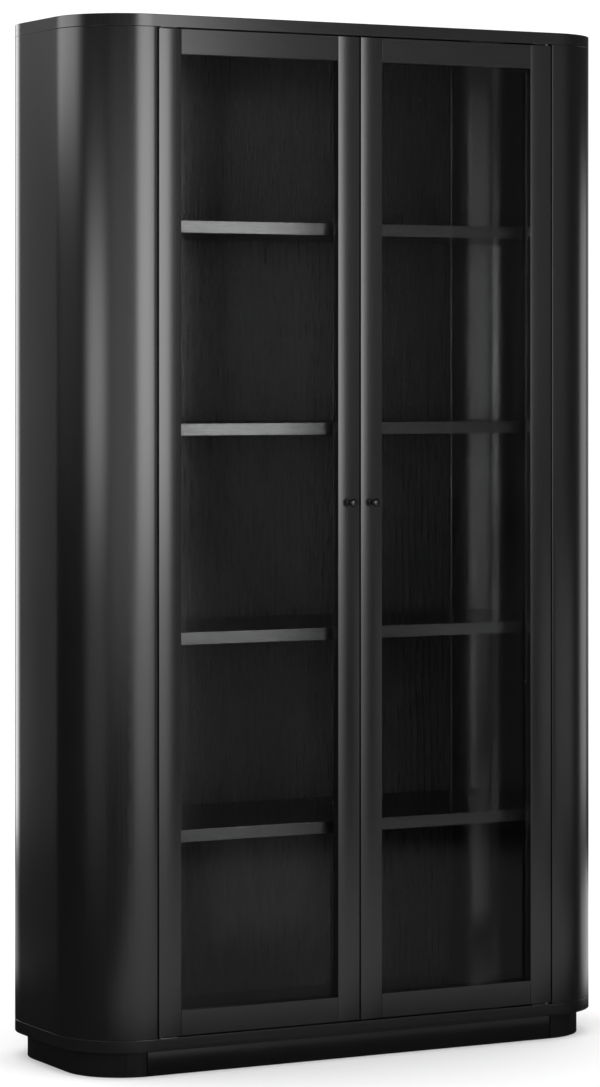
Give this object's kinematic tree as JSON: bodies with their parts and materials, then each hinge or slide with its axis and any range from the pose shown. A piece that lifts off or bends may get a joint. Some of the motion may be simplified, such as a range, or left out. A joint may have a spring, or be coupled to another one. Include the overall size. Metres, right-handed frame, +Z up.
{
  "type": "curio cabinet",
  "caption": "Tall black wood display cabinet with rounded ends, a set-back plinth, fixed shelves and a pair of framed glass doors with small knobs.",
  "frame": {"origin": "on the floor, under the middle of the whole object including the door knobs", "axes": "+X to the right seen from the front, +Y towards the back, +Z up; the doors face -Y"},
  "size_m": [1.24, 0.49, 2.13],
  "materials": {
    "case_veneer": "satin, stained black, vertical grain",
    "door_glass": "clear",
    "knob_metal": "blackened, satin",
    "hinge_steel": "dull",
    "catch_plastic": "matte"
  },
  "bodies": {
    "case": {"plinth_front_rail": "case_veneer", "plinth_back_rail": "case_veneer", "plinth_left_end": "case_veneer", "plinth_right_end": "case_veneer", "bottom_panel": "case_veneer", "top_panel": "case_veneer", "left_shell": "case_veneer", "right_shell": "case_veneer", "left_stop_batten": "case_veneer", "right_stop_batten": "case_veneer", "back_panel": "case_veneer", "shelf_1": "case_veneer", "shelf_2": "case_veneer", "shelf_3": "case_veneer", "shelf_4": "case_veneer", "shelf_1_left_cleat": "case_veneer", "shelf_1_right_cleat": "case_veneer", "shelf_2_left_cleat": "case_veneer", "shelf_2_right_cleat": "case_veneer", "shelf_3_left_cleat": "case_veneer", "shelf_3_right_cleat": "case_veneer", "shelf_4_left_cleat": "case_veneer", "shelf_4_right_cleat": "case_veneer", "left_top_pivot": "hinge_steel", "left_bottom_pivot": "hinge_steel", "right_top_pivot": "hinge_steel", "right_bottom_pivot": "hinge_steel", "left_catch": "catch_plastic", "right_catch": "catch_plastic"},
    "left_door": {"left_door_outer_stile": "case_veneer", "left_door_inner_stile": "case_veneer", "left_door_top_rail": "case_veneer", "left_door_bottom_rail": "case_veneer", "left_door_glass": "door_glass", "left_door_top_bead": "case_veneer", "left_door_bottom_bead": "case_veneer", "left_door_outer_bead": "case_veneer", "left_door_inner_bead": "case_veneer", "left_door_knob": "knob_metal", "left_door_knob_screw": "hinge_steel", "left_door_strike_plate": "hinge_steel", "left_top_leaf": "hinge_steel", "left_bottom_leaf": "hinge_steel"},
    "right_door": {"right_door_outer_stile": "case_veneer", "right_door_inner_stile": "case_veneer", "right_door_top_rail": "case_veneer", "right_door_bottom_rail": "case_veneer", "right_door_glass": "door_glass", "right_door_top_bead": "case_veneer", "right_door_bottom_bead": "case_veneer", "right_door_outer_bead": "case_veneer", "right_door_inner_bead": "case_veneer", "right_door_knob": "knob_metal", "right_door_knob_screw": "hinge_steel", "right_door_strike_plate": "hinge_steel", "right_top_leaf": "hinge_steel", "right_bottom_leaf": "hinge_steel"}
  },
  "joints": [
    {"name": "left_door_hinge", "type": "hinge", "parent": "case", "child": "left_door", "pos_m": [-0.452, -0.215, 0.081], "axis": [0, 0, -1], "range_deg": [0, 110]},
    {"name": "right_door_hinge", "type": "hinge", "parent": "case", "child": "right_door", "pos_m": [0.452, -0.215, 0.081], "axis": [0, 0, 1], "range_deg": [0, 110]}
  ]
}
